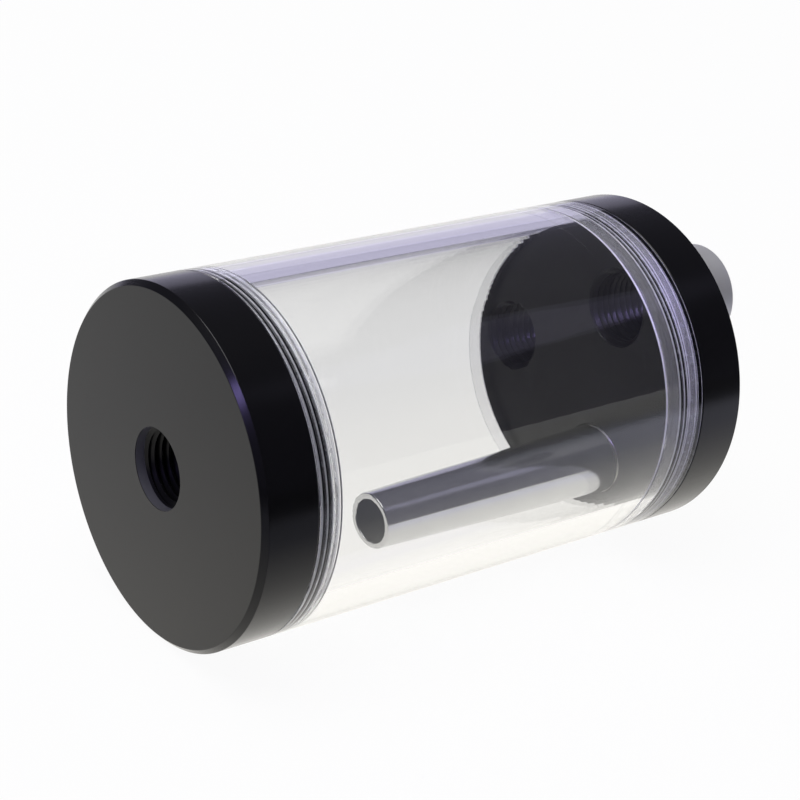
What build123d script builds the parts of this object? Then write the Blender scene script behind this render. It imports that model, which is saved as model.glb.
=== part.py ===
from build123d import *
import math
import os

# Cylindrical water cooling reservoir, lying on its side.
# Units are millimetres. The cylinder runs along X and +Z is up.
# The origin is the centre of the bounding box in plan, on the surface that the reservoir lies on.

# Tube
tube_outer_diameter = 60.0
tube_wall = 4.0
tube_length = 80.0
tube_thread_length = 6.5
tube_thread_height = 0.5

# Caps
cap_flange_thickness = 10.0
cap_spigot_length = 4.0
cap_outer_edge_break = 0.6
cap_inner_edge_break = 0.4
cap_thread_clearance = 0.2
spigot_root_depth = 0.5
spigot_end_chamfer = 0.4

# Cap seals
cap_seal_section = 1.2
seal_clearance = 0.1

# Ports
port_radius = 5.9
port_step_radius = 6.8
single_port_step_depth = 1.7
three_port_step_depth = 0.5
port_mouth_chamfer = 0.8
port_circle_radius = 17.0
port_count = 3
open_port_angle = 0.0
port_clearance = 0.15

# Inner pipe, which widens towards its port, and the threaded collar that holds it there
pipe_open_end_diameter = 10.0
pipe_root_diameter = 12.8
pipe_spigot_diameter = 10.0
pipe_bore_diameter = 8.0
pipe_reach = 50.0
pipe_fit_clearance = 0.02
collar_length = 5.5
relief_groove_radius = 6.6
relief_groove_width = 1.0

# Stop plug
plug_head_radius = 8.7
plug_head_height = 8.0
plug_head_edge_break = 0.5
plug_stem_length = 2.4
plug_stem_chamfer = 0.5
plug_socket_across_flats = 6.0
plug_socket_depth = 5.0
plug_seal_section = 1.2
plug_seal_groove_width = 1.4

# Radii that follow from the sizes above
tube_radius = tube_outer_diameter / 2
tube_bore_radius = tube_radius - tube_wall
tube_thread_radius = tube_bore_radius + tube_thread_height
cap_radius = tube_radius
spigot_radius = tube_thread_radius - cap_thread_clearance
spigot_root_radius = spigot_radius - spigot_root_depth
pipe_spigot_radius = pipe_spigot_diameter / 2
pipe_bore_radius = pipe_bore_diameter / 2
port_fit_radius = port_radius - port_clearance

# Cap seal and the gland that it sits in
cap_seal_offset = cap_seal_section / 2 + seal_clearance
cap_seal_radius = spigot_root_radius + cap_seal_offset
spigot_root_width = 2 * cap_seal_offset
tube_end_chamfer = cap_seal_radius + cap_seal_offset * (1 + math.sqrt(2)) - tube_thread_radius

# Plug seal and its groove under the head
plug_seal_offset = plug_seal_section / 2 + seal_clearance
plug_seal_radius = port_step_radius + plug_seal_groove_width / 2
plug_groove_depth = plug_seal_section + 2 * seal_clearance

# Stations along the cylinder's axis
overall_length = tube_length + 2 * cap_flange_thickness + plug_head_height
axis_height = cap_radius
left_face_x = -overall_length / 2
tube_left_x = left_face_x + cap_flange_thickness
tube_right_x = tube_left_x + tube_length
right_face_x = tube_right_x + cap_flange_thickness
cap_depth = cap_flange_thickness + cap_spigot_length
right_inner_face_x = right_face_x - cap_depth

# The ports stand evenly round the ported cap, and each has its own use
port_step_angle = 360.0 / port_count
plug_port_angle = open_port_angle + port_step_angle
pipe_port_angle = open_port_angle + 2 * port_step_angle


def at(x, angle=0.0, radius=0.0):
    """Return the point at one station along the axis, turned about it by an angle from +Y."""
    turn = math.radians(angle)
    return Vector(x, radius * math.cos(turn), axis_height + radius * math.sin(turn))


def along(x, direction=1, angle=0.0, radius=0.0):
    """Return a plane at one station, whose normal points along +X or -X."""
    return Plane(origin=at(x, angle, radius), x_dir=(0, 1, 0), z_dir=(direction, 0, 0))


def rod(plane, radius, length):
    """Return a round bar that starts on a plane and runs along its normal."""
    return plane * Cylinder(radius, length, align=(Align.CENTER, Align.CENTER, Align.MIN))


def turned(plane, outline):
    """Return a solid of revolution about a plane's normal.

    The outline is a closed list of (distance along the normal, radius) pairs.
    """
    points = [Vector(radius, 0, distance) for distance, radius in outline]
    face = make_face(Polyline(*points, close=True).edges())
    return plane * revolve(face, Axis.Z)


def ring(plane, offset, radius, section):
    """Return a seal ring of round section, centred at an offset along a plane's normal."""
    return plane * Pos(0, 0, offset) * Torus(radius, section / 2)


def tube():
    """The clear barrel: a plain bore with a wider threaded length and a seal chamfer at each end."""
    body = rod(along(tube_left_x), tube_radius, tube_length)
    body -= rod(along(tube_left_x), tube_bore_radius, tube_length)
    for end_x, inward in ((tube_left_x, 1), (tube_right_x, -1)):
        mouth = [
            (0, 0),
            (0, tube_thread_radius + tube_end_chamfer),
            (tube_end_chamfer, tube_thread_radius),
            (tube_thread_length, tube_thread_radius),
            (tube_thread_length + tube_thread_height, tube_bore_radius),
            (tube_thread_length + tube_thread_height, 0),
        ]
        body -= turned(along(end_x, inward), mouth)
    return body


def cap_blank(outer_face_x, inward):
    """A cap before its ports are cut: flange, undercut for the seal, and spigot."""
    flange_top = cap_flange_thickness
    root_top = flange_top + spigot_root_width
    outline = [
        (0, 0),
        (0, cap_radius - cap_outer_edge_break),
        (cap_outer_edge_break, cap_radius),
        (flange_top - cap_inner_edge_break, cap_radius),
        (flange_top, cap_radius - cap_inner_edge_break),
        (flange_top, spigot_root_radius),
        (root_top, spigot_root_radius),
        (root_top, spigot_radius),
        (cap_depth - spigot_end_chamfer, spigot_radius),
        (cap_depth, spigot_radius - spigot_end_chamfer),
        (cap_depth, 0),
    ]
    return turned(along(outer_face_x, inward), outline)


def port_cut(outer_face_x, inward, step_depth, angle=0.0, radius=0.0):
    """The space of one port: a plain step at the outer face, a tapped length and an inner chamfer."""
    mouth_radius = port_radius + port_mouth_chamfer
    outline = [
        (0, 0),
        (0, port_step_radius),
        (step_depth, port_step_radius),
        (step_depth, port_radius),
        (cap_depth - port_mouth_chamfer, port_radius),
        (cap_depth, mouth_radius),
        (cap_depth, 0),
    ]
    return turned(along(outer_face_x, inward, angle, radius), outline)


def single_port_cap():
    """The cap with one port on the cylinder's axis."""
    return cap_blank(left_face_x, 1) - port_cut(left_face_x, 1, single_port_step_depth)


def three_port_cap():
    """The cap with its ports on a circle, one of them relieved between two tapped lengths."""
    cap = cap_blank(right_face_x, -1)
    for number in range(port_count):
        angle = open_port_angle + number * port_step_angle
        cap -= port_cut(right_face_x, -1, three_port_step_depth, angle, port_circle_radius)
    groove_x = right_inner_face_x + collar_length
    groove_start = along(groove_x, 1, pipe_port_angle, port_circle_radius)
    cap -= rod(groove_start, relief_groove_radius, relief_groove_width)
    return cap


def cap_seal(tube_end_x, inward):
    """The O-ring in the gland between a flange, its spigot and the tube's chamfer."""
    return ring(along(tube_end_x, inward), cap_seal_offset, cap_seal_radius, cap_seal_section)


def inner_pipe():
    """The open pipe: a taper that stands on the collar, and a spigot that passes through it."""
    spigot_length = pipe_fit_clearance + collar_length
    outline = [
        (0, pipe_bore_radius),
        (0, pipe_open_end_diameter / 2),
        (pipe_reach, pipe_root_diameter / 2),
        (pipe_reach, pipe_spigot_radius),
        (pipe_reach + spigot_length, pipe_spigot_radius),
        (pipe_reach + spigot_length, pipe_bore_radius),
    ]
    return turned(along(right_inner_face_x - pipe_reach, 1, pipe_port_angle, port_circle_radius), outline)


def pipe_collar():
    """The threaded ring that holds the pipe in the inner length of its port."""
    start_x = right_inner_face_x + pipe_fit_clearance
    start = along(start_x, 1, pipe_port_angle, port_circle_radius)
    collar = rod(start, port_fit_radius, collar_length)
    return collar - rod(start, pipe_spigot_radius + pipe_fit_clearance, collar_length)


def stop_plug():
    """The plug with a smooth round head, a key socket and a seal groove under the head."""
    seat = along(right_face_x, 1, plug_port_angle, port_circle_radius)
    outline = [
        (-plug_stem_length, 0),
        (-plug_stem_length, port_fit_radius - plug_stem_chamfer),
        (plug_stem_chamfer - plug_stem_length, port_fit_radius),
        (0, port_fit_radius),
        (0, port_step_radius),
        (plug_groove_depth, port_step_radius),
        (plug_groove_depth, port_step_radius + plug_seal_groove_width),
        (0, port_step_radius + plug_seal_groove_width),
        (0, plug_head_radius),
        (plug_head_height - plug_head_edge_break, plug_head_radius),
        (plug_head_height, plug_head_radius - plug_head_edge_break),
        (plug_head_height, 0),
    ]
    socket_floor = plug_head_height - plug_socket_depth
    corner_radius = plug_socket_across_flats / math.sqrt(3)
    socket = extrude(RegularPolygon(corner_radius, 6), plug_socket_depth)
    return turned(seat, outline) - seat * Pos(0, 0, socket_floor) * socket


def plug_seal():
    """The O-ring between the plug's head and the outer face of the cap."""
    seat = along(right_face_x, 1, plug_port_angle, port_circle_radius)
    return ring(seat, plug_seal_offset, plug_seal_radius, plug_seal_section)


parts = {
    "tube": tube(),
    "single_port_cap": single_port_cap(),
    "single_port_cap_o_ring": cap_seal(tube_left_x, 1),
    "three_port_cap": three_port_cap(),
    "three_port_cap_o_ring": cap_seal(tube_right_x, -1),
    "inner_pipe": inner_pipe(),
    "pipe_collar": pipe_collar(),
    "stop_plug": stop_plug(),
    "stop_plug_o_ring": plug_seal(),
}

os.makedirs("parts", exist_ok=True)
for name, solid in parts.items():
    export_step(solid, f"parts/{name}.step")
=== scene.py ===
"""Visual model of a cylindrical water cooling reservoir that lies on its side.

A clear acrylic tube is closed by two screwed black caps. The near cap has one tapped port.
The far cap has three, of which one is open, one holds a silver stop plug and one an inner pipe.
Shapes are written in millimetres. Finishes, lamps and the camera are in metres, as Blender is.
"""
import logging
import math
from dataclasses import dataclass, field
from enum import Enum
from typing import Callable, Sequence

import bmesh
import bpy
from mathutils import Euler, Matrix, Vector


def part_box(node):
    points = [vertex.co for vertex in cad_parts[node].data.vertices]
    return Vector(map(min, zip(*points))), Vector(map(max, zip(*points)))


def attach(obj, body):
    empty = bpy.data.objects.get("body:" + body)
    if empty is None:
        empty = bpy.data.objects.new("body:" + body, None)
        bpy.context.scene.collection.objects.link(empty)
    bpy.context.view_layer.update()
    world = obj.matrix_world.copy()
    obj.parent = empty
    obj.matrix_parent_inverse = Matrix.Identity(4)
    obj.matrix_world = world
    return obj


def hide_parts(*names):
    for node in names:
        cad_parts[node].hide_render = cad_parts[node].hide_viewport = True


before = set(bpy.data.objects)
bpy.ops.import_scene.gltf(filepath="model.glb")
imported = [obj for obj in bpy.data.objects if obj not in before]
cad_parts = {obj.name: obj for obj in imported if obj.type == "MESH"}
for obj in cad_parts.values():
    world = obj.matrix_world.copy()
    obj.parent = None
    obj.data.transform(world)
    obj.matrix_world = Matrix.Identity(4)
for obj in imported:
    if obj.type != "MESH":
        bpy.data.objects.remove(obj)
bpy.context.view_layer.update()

MM = 0.001
LOG = logging.getLogger("reservoir")

# Facets round the tube and the caps, and round the ports.
FACETS = 192
PORT_FACETS = 96

# Corners this close together are one corner, in metres: on a seam, and between the turns of a thread.
SEAM_REACH = 1e-7
TURN_REACH = 3e-6

# A point this close to an edge is on it, in millimetres.
EDGE_REACH = 0.1

# The radius of the circle that the far cap's ports stand on, in millimetres.
PORT_CIRCLE = 17.0

# Red, green, blue and alpha.
Colour = tuple[float, float, float, float]

# The Y and Z of an axis that runs along X, in millimetres.
Axis = tuple[float, float]

# One point of a turned outline: its station along the axis and its radius, in millimetres.
Outline = Sequence[tuple[float, float]]


class Body(Enum):
    """The rigid bodies of the reservoir, by their names in the frame."""

    BARREL = "barrel"
    SINGLE_CAP = "single_cap"
    SINGLE_CAP_SEAL = "single_cap_seal"
    PORTED_CAP = "ported_cap"
    PORTED_CAP_SEAL = "ported_cap_seal"
    PLUG = "plug"
    PLUG_SEAL = "plug_seal"


class Slot(Enum):
    """Names of material slots for the pieces' finishes. No piece is given one of these slots here."""

    ACRYLIC = "clear_acrylic"
    ANODISED = "black_anodised"
    RUBBER = "seal_rubber"
    PIPE = "polished_metal"
    COLLAR = "collar_brass"
    PLATING = "silver_plating"


class Hand(Enum):
    """The way along X that leads into the tube from one of its ends."""

    RIGHTWARD = 1
    LEFTWARD = -1


class Port(Enum):
    """The far cap's ports, by the angles at which they stand on their circle, in degrees."""

    OPEN = 0.0
    PLUGGED = 120.0
    PIPED = 240.0


class Maths:
    """A shader value whose Python operators add the Math nodes that work it out."""

    def __init__(self, tree: bpy.types.NodeTree, socket: bpy.types.NodeSocket) -> None:
        """Wrap one output socket of a node tree."""
        self.tree = tree
        self.socket = socket

    def _math(self, operation: str, *values: "Maths | float") -> "Maths":
        """Add a Math node.

        Args:
            operation: The node's operation.
            values: Its inputs in order, as wrapped sockets or numbers.

        Returns:
            The node's result.
        """
        node = self.tree.nodes.new("ShaderNodeMath")
        node.operation = operation
        for socket, value in zip(node.inputs, values):
            if isinstance(value, Maths):
                self.tree.links.new(value.socket, socket)
            else:
                socket.default_value = value
        return Maths(self.tree, node.outputs[0])

    def __add__(self, other: "Maths | float") -> "Maths":
        """Sum of two values."""
        return self._math("ADD", self, other)

    __radd__ = __add__

    def __sub__(self, other: "Maths | float") -> "Maths":
        """Difference of two values."""
        return self._math("SUBTRACT", self, other)

    def __rsub__(self, other: float) -> "Maths":
        """Difference, with the number first."""
        return self._math("SUBTRACT", other, self)

    def __mul__(self, other: "Maths | float") -> "Maths":
        """Product of two values."""
        return self._math("MULTIPLY", self, other)

    __rmul__ = __mul__

    def __truediv__(self, other: "Maths | float") -> "Maths":
        """Quotient of two values."""
        return self._math("DIVIDE", self, other)

    def root(self) -> "Maths":
        """Square root of this value."""
        return self._math("SQRT", self)

    def at_most(self, limit: float) -> "Maths":
        """The smaller of this value and a limit."""
        return self._math("MINIMUM", self, limit)

    def at_least(self, limit: float) -> "Maths":
        """The larger of this value and a limit."""
        return self._math("MAXIMUM", self, limit)

    def fraction(self) -> "Maths":
        """The part of this value after the point."""
        return self._math("FRACT", self)

    def angle_from(self, other: "Maths") -> "Maths":
        """The angle whose sine goes as this value and whose cosine as the other."""
        return self._math("ARCTAN2", self, other)

    def size(self) -> "Maths":
        """This value without its sign."""
        return self._math("ABSOLUTE", self)

    def diagonal_with(self, other: "Maths") -> "Maths":
        """The length of the slope that this value and another span."""
        return (self * self + other * other).root()

    def above(self, limit: float, softness: float) -> "Maths":
        """0 below a limit and 1 above it, with a soft step between."""
        return ((self - limit) / softness + 0.5).at_most(1.0).at_least(0.0)


class Shader:
    """A node tree under construction, with one method that adds any node."""

    # A Mix node has sockets for every kind of data. These are the ones for colours.
    colour_inputs = (0, 6, 7)
    colour_output = 2

    def __init__(self, tree: bpy.types.NodeTree) -> None:
        """Start on an emptied tree."""
        self.tree = tree
        tree.nodes.clear()

    def fill(self, socket: bpy.types.NodeSocket, value: object) -> None:
        """Feed an input socket.

        Args:
            socket: The input socket.
            value: A wrapped or plain output socket to link, or a constant to set.
        """
        source = value.socket if isinstance(value, Maths) else value
        if isinstance(source, bpy.types.NodeSocket):
            self.tree.links.new(source, socket)
        else:
            socket.default_value = source

    def add(self, kind: str, settings: dict | None = None, **sockets: object) -> bpy.types.Node:
        """Add a node.

        Args:
            kind: The node's type, without its ShaderNode prefix.
            settings: Attributes of the node, which are set before its sockets.
            sockets: Values or links by socket name, with spaces written as underscores.

        Returns:
            The new node.
        """
        node = self.tree.nodes.new("ShaderNode" + kind)
        for name, value in (settings or {}).items():
            setattr(node, name, value)
        for name, value in sockets.items():
            self.fill(node.inputs[name.replace("_", " ")], value)
        return node

    def value(self, socket: bpy.types.NodeSocket) -> Maths:
        """Wrap an output socket for use in expressions."""
        return Maths(self.tree, socket)

    def position(self) -> bpy.types.NodeSocket:
        """The place on the piece, in its own coordinates."""
        return self.add("TexCoord").outputs["Object"]

    def parted(self, where: bpy.types.NodeSocket, centre: Sequence[float]) -> list[Maths]:
        """The X, Y and Z of a place, from a centre."""
        parts = self.add("SeparateXYZ", Vector=where)
        return [self.value(part) - middle for part, middle in zip(parts.outputs, centre)]

    def noise(self, vector: bpy.types.NodeSocket, scale: float, detail: float) -> Maths:
        """Smooth noise between 0 and 1 at a scale in features per metre."""
        node = self.add("TexNoise", Vector=vector, Scale=scale, Detail=detail)
        return self.value(node.outputs["Fac"])

    def stretched(self, vector: bpy.types.NodeSocket, scale: Vector) -> bpy.types.NodeSocket:
        """A vector scaled along each of its own axes."""
        return self.add("Mapping", Vector=vector, Scale=scale).outputs["Vector"]

    def bump(self, height: Maths, distance: float, strength: float) -> bpy.types.NodeSocket:
        """A normal that follows a height map."""
        node = self.add("Bump", Height=height, Distance=distance, Strength=strength)
        return node.outputs["Normal"]

    def blend(self, share: Maths, low: "Colour | bpy.types.NodeSocket", high: Colour) -> bpy.types.NodeSocket:
        """Blend two colours.

        Args:
            share: The second one's share, from 0 to 1.
            low: The first colour, or a socket that gives it.
            high: The second colour.

        Returns:
            The blended colour's socket.
        """
        node = self.add("Mix", {"data_type": "RGBA"})
        for number, value in zip(self.colour_inputs, (share, low, high)):
            self.fill(node.inputs[number], value)
        return node.outputs[self.colour_output]

    def mixed(self, share: Maths, first: bpy.types.Node, second: bpy.types.Node) -> bpy.types.Node:
        """Mix two shaders.

        Args:
            share: The second one's share, from 0 to 1.
            first: The first shader.
            second: The second shader.

        Returns:
            The mix.
        """
        node = self.add("MixShader", Fac=share)
        self.tree.links.new(first.outputs[0], node.inputs[1])
        self.tree.links.new(second.outputs[0], node.inputs[2])
        return node

    def finish(self, shader: bpy.types.Node, kind: str = "OutputMaterial") -> None:
        """Connect a shader to the tree's output."""
        output = self.add(kind)
        self.tree.links.new(shader.outputs[0], output.inputs["Surface"])


def new_material(name: str) -> tuple[bpy.types.Material, Shader]:
    """Make a material with an empty node tree.

    Args:
        name: The material's name.

    Returns:
        The material and the shader that fills it.
    """
    material = bpy.data.materials.new(name)
    material.use_nodes = True
    return material, Shader(material.node_tree)


def grey(level: float) -> Colour:
    """An opaque grey."""
    return (level, level, level, 1.0)


@dataclass(frozen=True)
class ClearAcrylic:
    """Clear cast acrylic, polished along the barrel and frosted by the cutter at both ends."""

    centre: tuple[float, float, float]
    half_length: float
    name: str = "clear_acrylic"
    left_machined: float = 0.00572
    right_machined: float = 0.00662
    machined_radius: float = 0.0284
    left_thread: float = 0.0050
    right_thread: float = 0.0037
    root_radius: float = 0.02643
    chamfer_radius: float = 0.02662
    shoulder_radius: float = 0.02625
    end_skin: float = 0.00004
    pitch: float = 0.001
    line_width: float = 0.17
    line_edge: float = 0.05
    soft_edge: float = 0.00005
    fine_edge: float = 0.00004
    side_edge: float = 0.001
    smooth_frost: float = 0.21
    shoulder_frost: float = 0.80
    line_frost: float = 0.62
    gap_frost: float = 0.27
    end_frost: float = 0.26
    left_chamfer_lines: float = 0.85
    wear_scale: float = 900.0
    wear: float = 0.5
    least_wear: float = 0.75
    tint: Colour = (0.965, 0.968, 0.972, 1.0)
    frost: Colour = (0.80, 0.80, 0.86, 1.0)
    frost_roughness: float = 0.42
    sheen: float = 0.35
    index: float = 1.49
    shadow_tint: Colour = (0.86, 0.865, 0.87, 1.0)

    def machined(self, shader: Shader) -> Maths:
        """Say how frosted each place is, from its distance to the ends and to the axis.

        The plain relief is evenly frosted. In the threaded length the roots are frosted most, and
        the same lines run on over the chamfer that seats the seal.

        Args:
            shader: The finish's shader.

        Returns:
            The share of frost, 0 where the acrylic is polished.
        """
        where = shader.position()
        station, across, above = shader.parted(where, self.centre)
        radius = across.diagonal_with(above)
        from_end = self.half_length - station.size()
        at_left = 1.0 - station.above(0.0, self.side_edge)
        machined = at_left * (self.left_machined - self.right_machined) + self.right_machined
        inside = 1.0 - radius.above(self.machined_radius, self.soft_edge)
        near_end = (1.0 - (from_end - machined).above(0.0, self.soft_edge)) * inside
        end_face = 1.0 - from_end.above(self.end_skin, self.fine_edge)
        run = at_left * (self.left_thread - self.right_thread) + self.right_thread
        threaded = 1.0 - (from_end - run).above(0.0, self.soft_edge)
        turn = above.angle_from(across) / math.tau
        phase = (station / self.pitch + turn).fraction()
        line = 1.0 - phase.above(self.line_width, self.line_edge)
        at_root = radius.above(self.root_radius, self.fine_edge)
        on_chamfer = radius.above(self.chamfer_radius, self.fine_edge)
        chamfer_lines = on_chamfer * (line + at_left * self.left_chamfer_lines)
        lines = (at_root * (1.0 - on_chamfer) + chamfer_lines).at_most(1.0)
        cut = lines * (self.line_frost - self.gap_frost) + self.gap_frost
        shoulder = (1.0 - threaded) * (1.0 - radius.above(self.shoulder_radius, self.fine_edge))
        frost = threaded * (cut - self.smooth_frost) + self.smooth_frost
        frost = frost + shoulder * (self.shoulder_frost - self.smooth_frost)
        worn = shader.noise(where, self.wear_scale, detail=3.0) * self.wear + self.least_wear
        return (near_end * frost + end_face * self.end_frost).at_most(1.0) * worn

    def material(self) -> bpy.types.Material:
        """Build the finish.

        Returns:
            The material.
        """
        material, shader = new_material(self.name)
        glass = shader.add(
            "BsdfPrincipled",
            Base_Color=self.tint,
            IOR=self.index,
            Transmission_Weight=1.0,
            Roughness=0.0,
        )
        frosted = shader.add(
            "BsdfPrincipled",
            Base_Color=self.frost,
            Roughness=self.frost_roughness,
            Metallic=self.sheen,
            IOR=self.index,
        )
        skin = shader.mixed(self.machined(shader), glass, frosted)
        clear = shader.add("BsdfTransparent", Color=self.shadow_tint)
        shadow = shader.value(shader.add("LightPath").outputs["Is Shadow Ray"])
        shader.finish(shader.mixed(shadow, skin, clear))
        return material


@dataclass(frozen=True)
class BlackAnodised:
    """Black anodised aluminium with a satin skin and faint tool marks.

    A cap without a port on its axis gives a port radius below 0. Inside the step at a port's mouth the colour
    is paler. This is partly a barer machined wall and partly painted reflection of the floor that lights that
    wall.
    """

    name: str
    centre: tuple[float, float]
    outer_face: float
    port_radius: float = 0.00685
    port_edge: float = 0.00005
    mouth_edge: float = 0.0001
    step_depth: float = 0.0017
    step_edge: float = 0.00008
    side_radius: float = 0.0292
    side_edge: float = 0.0003
    flange: float = 0.0101
    flange_edge: float = 0.0002
    colour: Colour = (0.0022, 0.0022, 0.0025, 1.0)
    worn: Colour = (0.0038, 0.0038, 0.0042, 1.0)
    # Paler colour of the step at a port's mouth: partly a barer machined wall, partly painted reflection of
    # the floor.
    bare_step_and_painted_reflection: Colour = (0.085, 0.085, 0.095, 1.0)
    cloud_scale: float = 60.0
    roughness: float = 0.45
    roughness_spread: float = 0.05
    index: float = 1.15
    skin_roughness: float = 0.18
    skin_index: float = 1.32
    skin_side: float = 1.0
    skin_face: float = 0.88
    skin_inside: float = 0.48
    skin_port: float = 0.45
    smear_scale: tuple[float, float, float] = (60.0, 30.0, 320.0)
    smear_spread: float = 0.25
    smear_middle: float = 0.12
    mark_spacing: float = 0.00022
    mark_share: float = 0.35
    grain_scale: float = 9000.0
    grain_depth: float = 0.00001
    grain_strength: float = 0.35

    def material(self) -> bpy.types.Material:
        """Build the finish.

        Returns:
            The material.
        """
        material, shader = new_material(self.name)
        where = shader.position()
        station, across, above = shader.parted(where, (self.outer_face, *self.centre))
        depth = station.size()
        radius = across.diagonal_with(above)
        rings = shader.add("CombineXYZ", X=radius / self.mark_spacing, Y=0.0, Z=0.0)
        marks = shader.noise(rings.outputs[0], scale=1.0, detail=1.0)
        grain = shader.noise(where, self.grain_scale, detail=2.0)
        cloud = shader.noise(where, self.cloud_scale, detail=3.0)
        smear = shader.noise(shader.stretched(where, Vector(self.smear_scale)), scale=1.0, detail=3.0)
        inside = depth.above(self.flange, self.flange_edge)
        below_mouth = depth.above(self.mouth_edge, self.mouth_edge)
        in_port = (1.0 - radius.above(self.port_radius, self.port_edge)) * below_mouth
        in_step = in_port * (1.0 - depth.above(self.step_depth, self.step_edge))
        on_face = 1.0 - radius.above(self.side_radius, self.side_edge)
        smeared = self.skin_inside - self.skin_face + smear * self.smear_spread - self.smear_middle
        skin = on_face * (self.skin_face - self.skin_side) + self.skin_side
        skin = skin + inside * smeared + in_port * (self.skin_port - self.skin_face)
        plain = shader.blend(cloud, self.colour, self.worn)
        # The mouth step takes the paler colour, which is partly painted reflection of the floor.
        surface = shader.add(
            "BsdfPrincipled",
            Base_Color=shader.blend(in_step, plain, self.bare_step_and_painted_reflection),
            Roughness=cloud * self.roughness_spread + self.roughness,
            IOR=self.index,
            Coat_Weight=skin,
            Coat_Roughness=self.skin_roughness,
            Coat_IOR=self.skin_index,
            Normal=shader.bump(marks * self.mark_share + grain, self.grain_depth, self.grain_strength),
        )
        shader.finish(surface)
        return material


@dataclass(frozen=True)
class SealRubber:
    """Matt black nitrile with a faint moulded grain."""

    name: str = "seal_rubber"
    colour: Colour = (0.012, 0.012, 0.012, 1.0)
    lighter: Colour = (0.022, 0.022, 0.023, 1.0)
    roughness: float = 0.5
    roughness_spread: float = 0.15
    grain_scale: float = 6000.0
    grain_depth: float = 0.00002
    grain_strength: float = 0.3

    def material(self) -> bpy.types.Material:
        """Build the finish.

        Returns:
            The material.
        """
        material, shader = new_material(self.name)
        grain = shader.noise(shader.position(), self.grain_scale, detail=3.0)
        surface = shader.add(
            "BsdfPrincipled",
            Base_Color=shader.blend(grain, self.colour, self.lighter),
            Roughness=grain * self.roughness_spread + self.roughness,
            Normal=shader.bump(grain, self.grain_depth, self.grain_strength),
        )
        shader.finish(surface)
        return material


@dataclass(frozen=True)
class BareMetal:
    """A bare or plated metal with marks that run along X or round it."""

    name: str
    colour: Colour
    darker: Colour
    roughness: float
    metallic: float = 1.0
    roughness_spread: float = 0.08
    cloud_scale: float = 180.0
    mark_scale: tuple[float, float, float] = (300.0, 9000.0, 9000.0)
    mark_depth: float = 0.000004
    mark_strength: float = 0.25

    def material(self) -> bpy.types.Material:
        """Build the finish.

        Returns:
            The material.
        """
        material, shader = new_material(self.name)
        where = shader.position()
        marks = shader.noise(shader.stretched(where, Vector(self.mark_scale)), scale=1.0, detail=2.0)
        cloud = shader.noise(where, self.cloud_scale, detail=3.0)
        surface = shader.add(
            "BsdfPrincipled",
            Base_Color=shader.blend(cloud, self.darker, self.colour),
            Metallic=self.metallic,
            Roughness=cloud * self.roughness_spread + self.roughness,
            Normal=shader.bump(marks, self.mark_depth, self.mark_strength),
        )
        shader.finish(surface)
        return material


@dataclass(frozen=True)
class Stations:
    """Stations and radii of the reservoir, read from the CAD nodes' boxes, in millimetres."""

    axis_height: float
    tube_radius: float
    tube_left: float
    tube_right: float
    left_face: float
    right_face: float
    right_inner_face: float

    @classmethod
    def read(cls) -> "Stations":
        """Read the stations from the frame.

        Returns:
            The stations.
        """
        tube_low, tube_high = (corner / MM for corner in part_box("tube"))
        left_low, left_high = (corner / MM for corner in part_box("single_port_cap"))
        right_low, right_high = (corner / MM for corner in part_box("three_port_cap"))
        return cls(
            axis_height=(left_low.z + left_high.z) / 2,
            tube_radius=(tube_high.z - tube_low.z) / 2,
            tube_left=tube_low.x,
            tube_right=tube_high.x,
            left_face=left_low.x,
            right_face=right_high.x,
            right_inner_face=right_low.x,
        )

    @property
    def axis(self) -> Axis:
        """The axis of the tube and the caps."""
        return 0.0, self.axis_height

    def port(self, port: Port) -> Axis:
        """The axis of one of the far cap's ports."""
        angle = math.radians(port.value)
        return PORT_CIRCLE * math.cos(angle), self.axis_height + PORT_CIRCLE * math.sin(angle)


def node_axis(node: str) -> Axis:
    """The axis of a round node.

    Args:
        node: The name of a CAD node whose box is centred on its axis.

    Returns:
        Its Y and Z.
    """
    low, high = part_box(node)
    middle = (low + high) / 2 / MM
    return middle.y, middle.z


class Mesher:
    """Shapes made on a lathe: outlines spun about an axis that runs along X."""

    def __init__(self, axis: Axis) -> None:
        """Set the axis."""
        self.centre = Vector((0.0, axis[0] * MM, axis[1] * MM))

    def turned(self, outline: Outline, steps: int = FACETS) -> bmesh.types.BMesh:
        """Spin an outline into a closed solid.

        Args:
            outline: Its points, in order round the section. Where the first lies off the axis the
                outline is a ring's, and returns to its start. Otherwise it ends on the axis too.
            steps: The number of facets round the solid.

        Returns:
            The solid's mesh.
        """
        shape = bmesh.new()
        points = [
            shape.verts.new(self.centre + Vector((station * MM, 0.0, radius * MM)))
            for station, radius in outline
        ]
        pairs = list(zip(points, points[1:]))
        if outline[0][1] > 0.0:
            pairs.append((points[-1], points[0]))
        for pair in pairs:
            shape.edges.new(pair)
        bmesh.ops.spin(
            shape,
            geom=shape.verts[:] + shape.edges[:],
            cent=self.centre,
            axis=(1.0, 0.0, 0.0),
            angle=math.tau,
            steps=steps,
            use_merge=True,
        )
        bmesh.ops.remove_doubles(shape, verts=shape.verts[:], dist=SEAM_REACH)
        bmesh.ops.recalc_face_normals(shape, faces=shape.faces[:])
        return shape

    def bar(self, start: float, end: float, radius: float, steps: int = FACETS) -> bmesh.types.BMesh:
        """Turn a plain round bar.

        Args:
            start: Its first station.
            end: Its last station.
            radius: Its radius.
            steps: The number of facets round it.

        Returns:
            The bar's mesh.
        """
        return self.turned([(start, 0.0), (start, radius), (end, radius), (end, 0.0)], steps)


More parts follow.
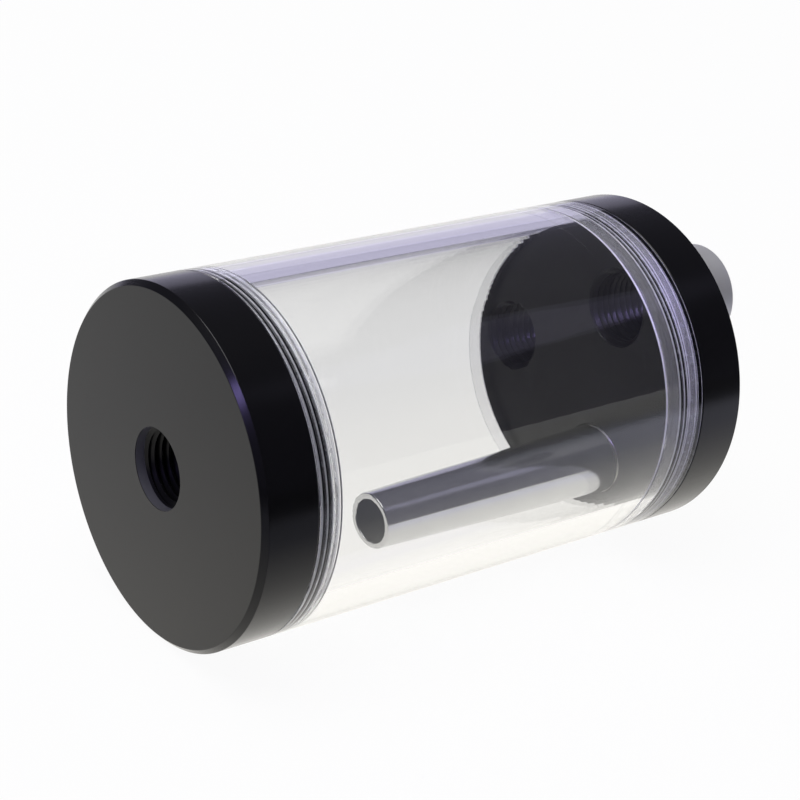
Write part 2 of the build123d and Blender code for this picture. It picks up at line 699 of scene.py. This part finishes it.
@dataclass(frozen=True)
class Thread:
    """A helical thread between two radii. Its flats are shares of the pitch."""

    pitch: float
    crest_radius: float
    root_radius: float
    flat: float = 0.12
    half: float = 0.5
    spare_turns: int = 2

    def rod(self, axis: Axis, ends: Sequence[float], steps: int) -> bmesh.types.BMesh:
        """Make a closed bar with this thread on it.

        Args:
            axis: The bar's axis.
            ends: Its first and last station, in any order.
            steps: The number of facets in one turn.

        Returns:
            The bar's mesh, cut off square at both ends.
        """
        start, end = sorted(ends)
        centre = Vector((0.0, axis[0] * MM, axis[1] * MM))
        turns = math.ceil((end - start) / self.pitch) + 2 * self.spare_turns
        shape = bmesh.new()
        tooth = (
            (0.0, self.root_radius),
            (self.flat, self.root_radius),
            (self.half, self.crest_radius),
            (self.half + self.flat, self.crest_radius),
        )
        chain = []
        for turn in range(turns):
            for share, radius in tooth:
                station = start + (turn - self.spare_turns + share) * self.pitch
                chain.append(shape.verts.new(centre + Vector((station * MM, 0.0, radius * MM))))
        for pair in zip(chain, chain[1:]):
            shape.edges.new(pair)
        bmesh.ops.spin(
            shape,
            geom=shape.verts[:] + shape.edges[:],
            cent=centre,
            axis=(1.0, 0.0, 0.0),
            dvec=(self.pitch * MM / steps, 0.0, 0.0),
            angle=math.tau,
            steps=steps,
        )
        bmesh.ops.remove_doubles(shape, verts=shape.verts[:], dist=TURN_REACH)
        for station, side in ((start, -1.0), (end, 1.0)):
            cut = bmesh.ops.bisect_plane(
                shape,
                geom=shape.verts[:] + shape.edges[:] + shape.faces[:],
                plane_co=(station * MM, 0.0, 0.0),
                plane_no=(side, 0.0, 0.0),
                clear_outer=True,
            )
            rim = [
                item
                for item in cut["geom_cut"]
                if isinstance(item, bmesh.types.BMEdge) and len(item.link_faces) == 1
            ]
            bmesh.ops.edgeloop_fill(shape, edges=rim)
        half_facet = Matrix.Rotation(math.pi / steps, 3, "X")
        bmesh.ops.rotate(shape, verts=shape.verts[:], cent=centre, matrix=half_facet)
        bmesh.ops.recalc_face_normals(shape, faces=shape.faces[:])
        return shape


def as_object(name: str, shape: bmesh.types.BMesh) -> bpy.types.Object:
    """Turn a mesh under construction into an object at the origin.

    Args:
        name: The object's name.
        shape: The mesh, which is freed.

    Returns:
        The object, linked to the scene.
    """
    mesh = bpy.data.meshes.new(name)
    shape.to_mesh(mesh)
    shape.free()
    piece = bpy.data.objects.new(name, mesh)
    bpy.context.scene.collection.objects.link(piece)
    return piece


def bevel_rims(
    shape: bmesh.types.BMesh, width: float, wanted: Callable[[Vector], bool], sharp: float = 30.0
) -> None:
    """Round the sharp circular edges of a turned solid.

    Args:
        shape: The solid.
        width: The width of the rounding, in millimetres.
        wanted: Says of an edge's midpoint whether the edge is to be rounded.
        sharp: Edges that turn by more than this many degrees are sharp.
    """
    rims = [
        edge
        for edge in shape.edges
        if len(edge.link_faces) == 2
        and edge.calc_face_angle(0.0) > math.radians(sharp)
        and wanted((edge.verts[0].co + edge.verts[1].co) / 2)
    ]
    bmesh.ops.bevel(
        shape,
        geom=rims,
        offset=width * MM,
        offset_type="OFFSET",
        affect="EDGES",
        segments=4,
        profile=0.5,
        material=-1,
        clamp_overlap=True,
    )


def cut_away(piece: bpy.types.Object, cutters: Sequence[bmesh.types.BMesh]) -> None:
    """Cut closed shapes out of a piece.

    Args:
        piece: The piece, whose mesh is changed.
        cutters: The shapes, which are freed.
    """
    for number, shape in enumerate(cutters):
        cutter = as_object(f"{piece.name}_cutter_{number}", shape)
        modifier = piece.modifiers.new("cut", "BOOLEAN")
        modifier.operation = "DIFFERENCE"
        modifier.solver = "EXACT"
        modifier.object = cutter
        bpy.context.view_layer.update()
        graph = bpy.context.evaluated_depsgraph_get()
        result = bpy.data.meshes.new_from_object(piece.evaluated_get(graph))
        piece.modifiers.clear()
        old = piece.data
        piece.data = result
        bpy.data.meshes.remove(old)
        cutter_mesh = cutter.data
        bpy.data.objects.remove(cutter)
        bpy.data.meshes.remove(cutter_mesh)


def close_slivers(piece: bpy.types.Object, reach: float) -> None:
    """Merge the corners that a cut leaves closer together than a sliver is wide.

    Args:
        piece: The piece, whose mesh is changed.
        reach: The width of a sliver, in millimetres.
    """
    shape = bmesh.new()
    shape.from_mesh(piece.data)
    bmesh.ops.remove_doubles(shape, verts=shape.verts[:], dist=reach * MM)
    shape.to_mesh(piece.data)
    shape.free()


def place(
    piece: bpy.types.Object,
    body: Body,
    material: bpy.types.Material,
    node: str,
    crease: float = 28.0,
) -> None:
    """Finish a piece: shade it, dress it and tie it to the frame.

    Args:
        piece: The piece.
        body: The body that it rides on.
        material: Its finish.
        node: The CAD node that it stands for.
        crease: Edges that turn by more than this many degrees stay sharp.
    """
    mesh = piece.data
    mesh.materials.clear()
    mesh.materials.append(material)
    mesh.shade_smooth()
    mesh.set_sharp_from_angle(angle=math.radians(crease))
    weighted = piece.modifiers.new("weighted_normals", "WEIGHTED_NORMAL")
    weighted.mode = "FACE_AREA_WITH_ANGLE"
    weighted.weight = 100
    weighted.keep_sharp = True
    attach(piece, body.value)
    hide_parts(node)
    LOG.info("%s: %d faces on %s", piece.name, len(mesh.polygons), body.value)


# The threads that are cut into the tube and the ports, whose roots lie further out than their crests.
CAP_THREAD = Thread(pitch=1.0, crest_radius=26.02, root_radius=26.55)
PORT_THREAD = Thread(pitch=1.337, crest_radius=5.9, root_radius=6.58)


@dataclass
class Tube:
    """The clear barrel, threaded inside at both ends."""

    sizes: Stations
    wall: float = 4.0
    left_relief: float = 5.2
    right_relief: float = 6.1
    left_thread: float = 5.0
    right_thread: float = 3.7
    thread_radius: float = 26.5
    seal_chamfer: float = 1.69
    rim_break: float = 0.12
    rim_reach: float = 0.05
    shoulder_offset: float = 0.02
    thread_overshoot: float = 0.5
    relief_overlap: float = 0.35
    relief_cone: float = 0.55
    bore_overlap: float = 0.05
    relief_facets: int = 180
    sliver: float = 0.002
    crease: float = 20.0

    def blank(self, bore: float) -> bmesh.types.BMesh:
        """Turn the tube before its threads are cut.

        Args:
            bore: The radius of its bore.

        Returns:
            Its mesh.
        """
        sizes = self.sizes
        left, right = sizes.tube_left, sizes.tube_right
        mouth = self.thread_radius + self.seal_chamfer
        shape = Mesher(sizes.axis).turned(
            [
                (left, sizes.tube_radius),
                (right, sizes.tube_radius),
                (right, mouth),
                (right - self.seal_chamfer, self.thread_radius),
                (right - self.seal_chamfer - self.thread_radius + bore + self.shoulder_offset, bore),
                (left + self.seal_chamfer + self.thread_radius - bore - self.shoulder_offset, bore),
                (left + self.seal_chamfer, self.thread_radius),
                (left, mouth),
            ]
        )

        def is_outer_rim(point: Vector) -> bool:
            """Say whether a point lies on the outer edge of an end face."""
            outside = (sizes.tube_radius - self.rim_reach) * MM
            return math.hypot(point.y, point.z - sizes.axis_height * MM) > outside

        bevel_rims(shape, self.rim_break, is_outer_rim)
        return shape

    def end_cutters(
        self, bore: float, end: float, hand: Hand, threaded: float, relieved: float
    ) -> list[bmesh.types.BMesh]:
        """Make one end's relief and thread.

        Args:
            bore: The radius of the tube's bore.
            end: The end face's station.
            hand: The way into the tube from there.
            threaded: The length of the thread.
            relieved: The distance from the end face to the end of the relief.

        Returns:
            The shapes to cut away.
        """
        way = hand.value
        run_out = end + way * threaded
        inner = end + way * relieved
        relief = [
            (run_out - way * self.relief_overlap, 0.0),
            (run_out - way * self.relief_overlap, self.thread_radius),
            (inner, self.thread_radius),
            (inner + way * self.relief_cone, bore - self.bore_overlap),
            (inner + way * self.relief_cone, 0.0),
        ]
        return [
            Mesher(self.sizes.axis).turned(relief, self.relief_facets),
            CAP_THREAD.rod(self.sizes.axis, (end - way * self.thread_overshoot, run_out), FACETS),
        ]

    def build(self, material: bpy.types.Material) -> None:
        """Make the tube and cut its threads.

        Args:
            material: The tube's finish.
        """
        sizes = self.sizes
        bore = sizes.tube_radius - self.wall
        piece = as_object("clear_tube", self.blank(bore))
        for end, hand, threaded, relieved in (
            (sizes.tube_left, Hand.RIGHTWARD, self.left_thread, self.left_relief),
            (sizes.tube_right, Hand.LEFTWARD, self.right_thread, self.right_relief),
        ):
            cut_away(piece, self.end_cutters(bore, end, hand, threaded, relieved))
        close_slivers(piece, self.sliver)
        place(piece, Body.BARREL, material, "tube", self.crease)


@dataclass
class Cap:
    """A screwed end cap with tapped ports."""

    name: str
    node: str
    body: Body
    hand: Hand
    outer_face: float
    ports: list[Axis]
    sizes: Stations
    flange: float = 10.0
    spigot: float = 4.0
    outer_break: float = 0.9
    corner_break: float = 0.08
    inner_break: float = 0.4
    face_reach: float = 2.0
    root_width: float = 1.4
    root_depth: float = 0.5
    end_break: float = 0.3
    thread_clearance: float = 0.15
    thread_end_gap: float = 0.25
    core_overlap: float = 0.05
    step_radius: float = 6.8
    step_depth: float = 1.7
    step_cone: float = 0.7
    cone_overlap: float = 0.2
    thread_overlap: float = 0.3
    overshoot: float = 0.5
    mouth_chamfer: float = 0.8
    mouth_overshoot: float = 0.1
    relief_port: Axis | None = None
    relief_start: float = 0.0
    relief_radius: float = 6.6
    relief_width: float = 1.0
    crease: float = 24.0

    def station(self, depth: float) -> float:
        """The place along X of a depth below the outer face."""
        return self.outer_face + self.hand.value * depth

    def blank(self) -> bmesh.types.BMesh:
        """Turn the cap before its ports are cut.

        Returns:
            Its mesh.
        """
        radius = self.sizes.tube_radius
        spigot_root = CAP_THREAD.crest_radius - self.root_depth
        depth = self.flange + self.spigot
        shape = Mesher(self.sizes.axis).turned(
            [
                (self.station(0.0), 0.0),
                (self.station(0.0), radius - self.outer_break),
                (self.station(self.outer_break), radius),
                (self.station(self.flange), radius),
                (self.station(self.flange), spigot_root),
                (self.station(self.flange + self.root_width), spigot_root),
                (self.station(depth - self.end_break), spigot_root),
                (self.station(depth), spigot_root - self.end_break),
                (self.station(depth), 0.0),
            ]
        )
        face = self.outer_face * MM
        middle = self.sizes.axis_height * MM

        def is_outer_edge(point: Vector) -> bool:
            """Say whether a point lies on either edge of the outer chamfer."""
            return abs(point.x - face) < (self.outer_break + EDGE_REACH) * MM

        def is_inner_edge(point: Vector) -> bool:
            """Say whether a point lies on the flange's edge beside the tube."""
            rim = math.hypot(point.y, point.z - middle)
            return abs(point.x - face) > self.face_reach * MM and rim > (radius - EDGE_REACH) * MM

        bevel_rims(shape, self.corner_break, is_outer_edge)
        bevel_rims(shape, self.inner_break, is_inner_edge)
        return shape

    def port_cutters(self, port: Axis) -> list[bmesh.types.BMesh]:
        """Make the tapped hole, the plain step at its mouth and its inner chamfer.

        Args:
            port: The port's axis.

        Returns:
            The shapes to cut away.
        """
        lathe = Mesher(port)
        depth = self.flange + self.spigot
        crest = PORT_THREAD.crest_radius
        step = lathe.turned(
            [
                (self.station(-self.overshoot), 0.0),
                (self.station(-self.overshoot), self.step_radius),
                (self.station(self.step_depth), self.step_radius),
                (self.station(self.step_depth + self.step_cone), crest - self.cone_overlap),
                (self.station(self.step_depth + self.step_cone), 0.0),
            ],
            PORT_FACETS,
        )
        mouth = self.station(depth + self.mouth_overshoot)
        inner = lathe.turned(
            [
                (self.station(depth - self.mouth_chamfer), 0.0),
                (self.station(depth - self.mouth_chamfer), crest),
                (mouth, crest + self.mouth_chamfer + self.mouth_overshoot),
                (mouth, 0.0),
            ],
            PORT_FACETS,
        )
        ends = (self.station(self.step_depth - self.thread_overlap), self.station(depth + self.overshoot))
        return [step, inner, PORT_THREAD.rod(port, ends, PORT_FACETS)]

    def relief_cutter(self, port: Axis) -> bmesh.types.BMesh:
        """Make the relief between the two tapped lengths of a port.

        Args:
            port: The port's axis.

        Returns:
            The shape to cut away.
        """
        start = self.station(self.flange + self.spigot - self.relief_start)
        end = start - self.hand.value * self.relief_width
        return Mesher(port).bar(start, end, self.relief_radius, PORT_FACETS)

    def spigot_thread(self) -> bpy.types.Object:
        """Make the thread round the spigot, as a sleeve.

        Returns:
            The sleeve.
        """
        axis = self.sizes.axis
        thread = Thread(
            CAP_THREAD.pitch,
            CAP_THREAD.root_radius - self.thread_clearance,
            CAP_THREAD.crest_radius - self.thread_clearance,
        )
        start = self.station(self.flange + self.root_width)
        end = self.station(self.flange + self.spigot - self.thread_end_gap)
        sleeve = as_object(f"{self.name}_thread", thread.rod(axis, (start, end), FACETS))
        core = CAP_THREAD.crest_radius - self.root_depth - self.core_overlap
        low, high = sorted((self.station(self.flange), self.station(self.flange + self.spigot)))
        cut_away(sleeve, [Mesher(axis).bar(low, high, core)])
        return sleeve

    def build(self, material: bpy.types.Material) -> None:
        """Make the cap, its ports and its spigot's thread.

        Args:
            material: The cap's finish.
        """
        piece = as_object(self.name, self.blank())
        cutters = [cutter for port in self.ports for cutter in self.port_cutters(port)]
        if self.relief_port is not None:
            cutters.append(self.relief_cutter(self.relief_port))
        cut_away(piece, cutters)
        place(piece, self.body, material, self.node, self.crease)
        place(self.spigot_thread(), self.body, material, self.node, self.crease)


@dataclass
class SealRing:
    """An O-ring whose axis runs along X."""

    name: str
    node: str
    body: Body
    section: float = 1.2
    corners: int = 16
    crease: float = 60.0

    def build(self, material: bpy.types.Material) -> None:
        """Make the ring where its CAD node is.

        Args:
            material: The ring's finish.
        """
        low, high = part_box(self.node)
        middle = (low + high) / 2 / MM
        outer = (high.z - low.z) / MM / 2
        radius = self.section / 2
        outline = [
            (
                middle.x + radius * math.cos(math.tau * number / self.corners),
                outer - radius + radius * math.sin(math.tau * number / self.corners),
            )
            for number in range(self.corners)
        ]
        piece = as_object(self.name, Mesher((middle.y, middle.z)).turned(outline))
        place(piece, self.body, material, self.node, self.crease)


@dataclass
class InnerPipe:
    """The tapered open pipe inside the tube and the threaded collar that holds it."""

    sizes: Stations
    bore_radius: float = 4.0
    open_radius: float = 5.0
    root_radius: float = 6.4
    spigot_radius: float = 4.98
    root_gap: float = 0.1
    end_break: float = 0.15
    collar_fit: float = 0.02
    collar_crest_gap: float = 0.1
    collar_root_gap: float = 0.15
    hole_overshoot: float = 1.0
    hole_facets: int = 90

    def pipe(self, axis: Axis) -> bpy.types.Object:
        """Make the pipe.

        Args:
            axis: Its axis.

        Returns:
            The pipe.
        """
        low, high = (corner.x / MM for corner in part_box("inner_pipe"))
        root = self.sizes.right_inner_face - self.root_gap
        shape = Mesher(axis).turned(
            [
                (low, self.bore_radius),
                (low, self.open_radius),
                (root, self.root_radius),
                (root, self.spigot_radius),
                (high, self.spigot_radius),
                (high, self.bore_radius),
            ],
            PORT_FACETS,
        )
        bevel_rims(shape, self.end_break, lambda point: True)
        return as_object("inner_pipe_tube", shape)

    def collar(self, axis: Axis) -> bpy.types.Object:
        """Make the threaded collar.

        Args:
            axis: Its axis.

        Returns:
            The collar.
        """
        low, high = (corner.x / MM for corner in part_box("pipe_collar"))
        thread = Thread(
            PORT_THREAD.pitch,
            PORT_THREAD.root_radius - self.collar_crest_gap,
            PORT_THREAD.crest_radius - self.collar_root_gap,
        )
        piece = as_object("threaded_collar", thread.rod(axis, (low, high), PORT_FACETS))
        hole = self.spigot_radius + self.collar_fit
        over = self.hole_overshoot
        cut_away(piece, [Mesher(axis).bar(low - over, high + over, hole, self.hole_facets)])
        return piece

    def build(self, metal: bpy.types.Material, collar_metal: bpy.types.Material) -> None:
        """Make the pipe and its collar.

        Args:
            metal: The pipe's finish.
            collar_metal: The collar's finish.
        """
        axis = node_axis("pipe_collar")
        place(self.pipe(axis), Body.PORTED_CAP, metal, "inner_pipe")
        place(self.collar(axis), Body.PORTED_CAP, collar_metal, "pipe_collar")


@dataclass
class StopPlug:
    """The round-headed plug with a key socket, screwed into one port."""

    head_height: float = 8.0
    stem_core: float = 5.6
    stem_break: float = 0.15
    groove_inner: float = 6.8
    groove_width: float = 1.4
    groove_depth: float = 1.4
    across_flats: float = 6.0
    socket_depth: float = 5.0
    edge_break: float = 0.5
    seat_reach: float = 1.0
    thread_gap: float = 0.12
    thread_end_gap: float = 0.3
    core_overlap: float = 0.05
    core_overshoot: float = 1.0

    def socket(self, axis: Axis, top: float) -> bmesh.types.BMesh:
        """Make the space of the key socket.

        Args:
            axis: The plug's axis.
            top: The station of the head's face.

        Returns:
            The shape to cut away.
        """
        shape = bmesh.new()
        corner = self.across_flats / math.sqrt(3) * MM
        bmesh.ops.create_cone(
            shape,
            cap_ends=True,
            segments=6,
            radius1=corner,
            radius2=corner,
            depth=2 * self.socket_depth * MM,
            matrix=Matrix.Translation(Vector((top, axis[0], axis[1])) * MM)
            @ Euler((0.0, math.pi / 2, 0.0)).to_matrix().to_4x4(),
        )
        return shape

    def body(self, axis: Axis, end: float, top: float, radius: float) -> bpy.types.Object:
        """Make the head and the stem's core.

        Args:
            axis: The plug's axis.
            end: The station of the stem's end.
            top: The station of the head's face.
            radius: The head's radius.

        Returns:
            The plug without its thread.
        """
        seat = top - self.head_height
        groove_outer = self.groove_inner + self.groove_width
        shape = Mesher(axis).turned(
            [
                (end, 0.0),
                (end, self.stem_core - self.stem_break),
                (end + self.stem_break, self.stem_core),
                (seat, self.stem_core),
                (seat, self.groove_inner),
                (seat + self.groove_depth, self.groove_inner),
                (seat + self.groove_depth, groove_outer),
                (seat, groove_outer),
                (seat, radius),
                (top, radius),
                (top, 0.0),
            ]
        )

        def is_head_edge(point: Vector) -> bool:
            """Say whether a point lies on the head's outer edge."""
            rim = math.hypot(point.y / MM - axis[0], point.z / MM - axis[1])
            return rim > radius - EDGE_REACH and point.x / MM > seat + self.seat_reach

        bevel_rims(shape, self.edge_break, is_head_edge)
        piece = as_object("round_stop_plug", shape)
        cut_away(piece, [self.socket(axis, top)])
        return piece

    def screw(self, axis: Axis, end: float, seat: float) -> bpy.types.Object:
        """Make the thread round the stem, as a sleeve.

        Args:
            axis: The plug's axis.
            end: The station of the stem's end.
            seat: The station of the head's seat.

        Returns:
            The sleeve.
        """
        thread = Thread(
            PORT_THREAD.pitch,
            PORT_THREAD.root_radius - self.thread_gap,
            PORT_THREAD.crest_radius - self.thread_gap,
        )
        ends = (end + self.stem_break, seat - self.thread_end_gap)
        sleeve = as_object("stop_plug_thread", thread.rod(axis, ends, PORT_FACETS))
        core = self.stem_core - self.core_overlap
        cut_away(sleeve, [Mesher(axis).bar(end - self.core_overshoot, seat, core, PORT_FACETS)])
        return sleeve

    def build(self, material: bpy.types.Material) -> None:
        """Make the plug.

        Args:
            material: The plug's finish.
        """
        low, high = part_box("stop_plug")
        axis = node_axis("stop_plug")
        end, top = low.x / MM, high.x / MM
        head_radius = (high.z - low.z) / MM / 2
        place(self.body(axis, end, top, head_radius), Body.PLUG, material, "stop_plug")
        screw = self.screw(axis, end, top - self.head_height)
        place(screw, Body.PLUG, material, "stop_plug")


@dataclass(frozen=True)
class SoftBox:
    """A soft rectangular studio lamp."""

    name: str
    centre: tuple[float, float, float]
    target: tuple[float, float, float]
    width: float
    height: float
    power: float
    tint: tuple[float, float, float] = (1.0, 1.0, 1.0)

    def build(self) -> None:
        """Hang the lamp."""
        lamp = bpy.data.lights.new(self.name, "AREA")
        lamp.shape = "RECTANGLE"
        lamp.size = self.width
        lamp.size_y = self.height
        lamp.energy = self.power
        lamp.color = self.tint
        holder = bpy.data.objects.new(self.name, lamp)
        holder.location = self.centre
        toward = Vector(self.target) - Vector(self.centre)
        holder.rotation_euler = toward.to_track_quat("-Z", "Y").to_euler()
        bpy.context.scene.collection.objects.link(holder)


@dataclass(frozen=True)
class FloorGlow:
    """The colour in which the floor is mirrored behind an edge that runs along X."""

    colour: Colour
    edge: float
    softness: float


@dataclass
class Studio:
    """The plain pale floor, the white surroundings, the lamps and the camera."""

    floor_reach: float = 6.0
    floor_colour: Colour = (0.88, 0.88, 0.88, 1.0)
    floor_whitened: float = 0.95
    dark_floor: Colour = grey(0.02)
    white: Colour = grey(1.0)
    glow_front: FloorGlow = FloorGlow((0.95, 0.96, 1.15, 1.0), -0.15, 0.05)
    glow_under: FloorGlow = FloorGlow((1.04, 1.02, 0.97, 1.0), -0.055, 0.05)
    glow_behind: FloorGlow = FloorGlow((0.88, 0.875, 0.865, 1.0), 0.035, 0.07)
    glow_far: FloorGlow = FloorGlow((0.62, 0.60, 0.74, 1.0), 0.85, 1.2)
    front_start: float = 0.075
    front_softness: float = 0.14
    front_left_share: float = 0.4
    room: Colour = (0.085, 0.082, 0.112, 1.0)
    camera_place: tuple[float, float, float] = (-0.20386, -0.23571, 0.17686)
    camera_turn: tuple[float, float, float] = (65.214, -4.938, -36.127)
    focal_length: float = 90.185
    film_width: float = 36.0
    nearest_seen: float = 0.01
    shift: tuple[float, float] = (0.06, -0.03)
    lamps: list[SoftBox] = field(
        default_factory=lambda: [
            SoftBox(
                "overhead_box",
                centre=(-0.5, 0.1, 2.0),
                target=(0.0, 0.0, 0.0),
                width=1.5,
                height=1.8,
                power=36.0,
            ),
            SoftBox(
                "back_card",
                centre=(1.25, 1.6, 0.37),
                target=(0.0, 0.0, 0.37),
                width=3.2,
                height=0.74,
                power=4.4,
                tint=(0.80, 0.77, 1.0),
            ),
            SoftBox(
                "side_window",
                centre=(-1.77, -0.35, 1.0),
                target=(-0.06, 0.0, 0.03),
                width=0.25,
                height=0.75,
                power=8.0,
                tint=(0.47, 0.38, 1.0),
            ),
            SoftBox(
                "high_card",
                centre=(0.96, -0.56, 1.13),
                target=(0.0, 0.0, 0.02),
                width=0.5,
                height=0.4,
                power=0.14,
                tint=(0.75, 0.72, 1.0),
            ),
        ]
    )

    def mirrored_floor(self, shader: Shader, through: Maths) -> bpy.types.Node:
        """Colour the floor as the pieces mirror it, and as it is seen through the acrylic.

        In front of the pieces it is dark in a mirror and pale through the acrylic.

        Args:
            shader: The floor's shader.
            through: 1 for a ray that comes through the acrylic, otherwise 0.

        Returns:
            The shader node.
        """
        parts = shader.add("SeparateXYZ", Vector=shader.position())
        back = shader.value(parts.outputs["Y"])
        start = shader.value(parts.outputs["X"]).above(self.front_start, self.front_softness)
        rightward = start * (1.0 - self.front_left_share) + self.front_left_share
        dark = shader.add("Emission", Color=self.dark_floor, Strength=1.0)
        pale = shader.add("Emission", Color=self.glow_behind.colour, Strength=1.0)
        shown = shader.mixed(through, dark, pale)
        for glow, share in (
            (self.glow_front, rightward),
            (self.glow_under, 1.0),
            (self.glow_behind, 1.0),
            (self.glow_far, 1.0),
        ):
            light = shader.add("Emission", Color=glow.colour, Strength=1.0)
            shown = shader.mixed(back.above(glow.edge, glow.softness) * share, shown, light)
        return shown

    def floor(self) -> None:
        """Lay the floor, which looks white and keeps the shadow."""
        shape = bmesh.new()
        bmesh.ops.create_grid(shape, x_segments=1, y_segments=1, size=self.floor_reach)
        piece = as_object("floor", shape)
        material, shader = new_material("pale_floor")
        matt = shader.add("BsdfDiffuse", Color=self.floor_colour)
        path = shader.add("LightPath")
        through = shader.value(path.outputs["Is Transmission Ray"])
        mirrored = shader.value(path.outputs["Is Glossy Ray"]) + through
        lit = shader.mixed(mirrored.at_most(1.0), matt, self.mirrored_floor(shader, through))
        white = shader.add("Emission", Color=self.white, Strength=1.0)
        seen = shader.value(path.outputs["Is Camera Ray"]) * self.floor_whitened
        shader.finish(shader.mixed(seen, lit, white))
        piece.data.materials.append(material)

    def surroundings(self) -> None:
        """Fill the world: white where it is seen, a dim lavender room where it lights or is mirrored."""
        world = bpy.data.worlds.new("studio")
        bpy.context.scene.world = world
        world.use_nodes = True
        shader = Shader(world.node_tree)
        seen = shader.value(shader.add("LightPath").outputs["Is Camera Ray"])
        room = shader.add("Background", Color=self.room, Strength=1.0)
        white = shader.add("Background", Color=self.white, Strength=1.0)
        shader.finish(shader.mixed(seen, room, white), "OutputWorld")

    def camera(self) -> None:
        """Set the camera where the photograph was taken from."""
        lens = bpy.data.cameras.new("camera")
        lens.sensor_width = self.film_width
        lens.lens = self.focal_length
        lens.shift_x, lens.shift_y = self.shift
        lens.clip_start = self.nearest_seen
        holder = bpy.data.objects.new("camera", lens)
        holder.location = self.camera_place
        holder.rotation_euler = [math.radians(angle) for angle in self.camera_turn]
        bpy.context.scene.collection.objects.link(holder)
        bpy.context.scene.camera = holder

    def build(self) -> None:
        """Build the studio."""
        self.floor()
        self.surroundings()
        self.camera()
        for lamp in self.lamps:
            lamp.build()
        bpy.context.scene.view_settings.view_transform = "Standard"


def build_caps(sizes: Stations) -> None:
    """Build both caps.

    Args:
        sizes: The reservoir's stations.
    """
    centre = (0.0, sizes.axis_height * MM)
    near_finish = BlackAnodised("near_black_anodised", centre, sizes.left_face * MM)
    far_finish = BlackAnodised("far_black_anodised", centre, sizes.right_face * MM, port_radius=-1.0)
    near = Cap(
        "near_cap",
        node="single_port_cap",
        body=Body.SINGLE_CAP,
        hand=Hand.RIGHTWARD,
        outer_face=sizes.left_face,
        ports=[sizes.axis],
        sizes=sizes,
    )
    far = Cap(
        "far_cap",
        node="three_port_cap",
        body=Body.PORTED_CAP,
        hand=Hand.LEFTWARD,
        outer_face=sizes.right_face,
        ports=[sizes.port(port) for port in Port],
        sizes=sizes,
        step_depth=0.5,
        relief_port=sizes.port(Port.PIPED),
        relief_start=5.5,
    )
    near.build(near_finish.material())
    far.build(far_finish.material())


def main() -> None:
    """Build every piece in order."""
    logging.basicConfig(level=logging.INFO, format="%(name)s %(message)s")
    sizes = Stations.read()
    Studio().build()
    acrylic = ClearAcrylic(
        centre=((sizes.tube_left + sizes.tube_right) / 2 * MM, 0.0, sizes.axis_height * MM),
        half_length=(sizes.tube_right - sizes.tube_left) / 2 * MM,
    )
    rubber = SealRubber().material()
    pipe_metal = BareMetal(
        "polished_pipe",
        colour=(0.62, 0.62, 0.61, 1.0),
        darker=(0.54, 0.54, 0.54, 1.0),
        roughness=0.10,
    )
    collar_metal = BareMetal(
        "collar_plating",
        colour=(0.55, 0.54, 0.50, 1.0),
        darker=(0.48, 0.47, 0.44, 1.0),
        roughness=0.25,
    )
    plating = BareMetal(
        "satin_nickel",
        colour=(0.66, 0.66, 0.66, 1.0),
        darker=(0.60, 0.60, 0.60, 1.0),
        roughness=0.48,
        metallic=0.6,
        mark_scale=(9000.0, 400.0, 400.0),
    )
    Tube(sizes).build(acrylic.material())
    build_caps(sizes)
    SealRing("near_cap_seal", "single_port_cap_o_ring", Body.SINGLE_CAP_SEAL).build(rubber)
    SealRing("far_cap_seal", "three_port_cap_o_ring", Body.PORTED_CAP_SEAL).build(rubber)
    SealRing("plug_seal_ring", "stop_plug_o_ring", Body.PLUG_SEAL).build(rubber)
    InnerPipe(sizes).build(pipe_metal.material(), collar_metal.material())
    StopPlug().build(plating.material())


if __name__ == "__main__":
    main()
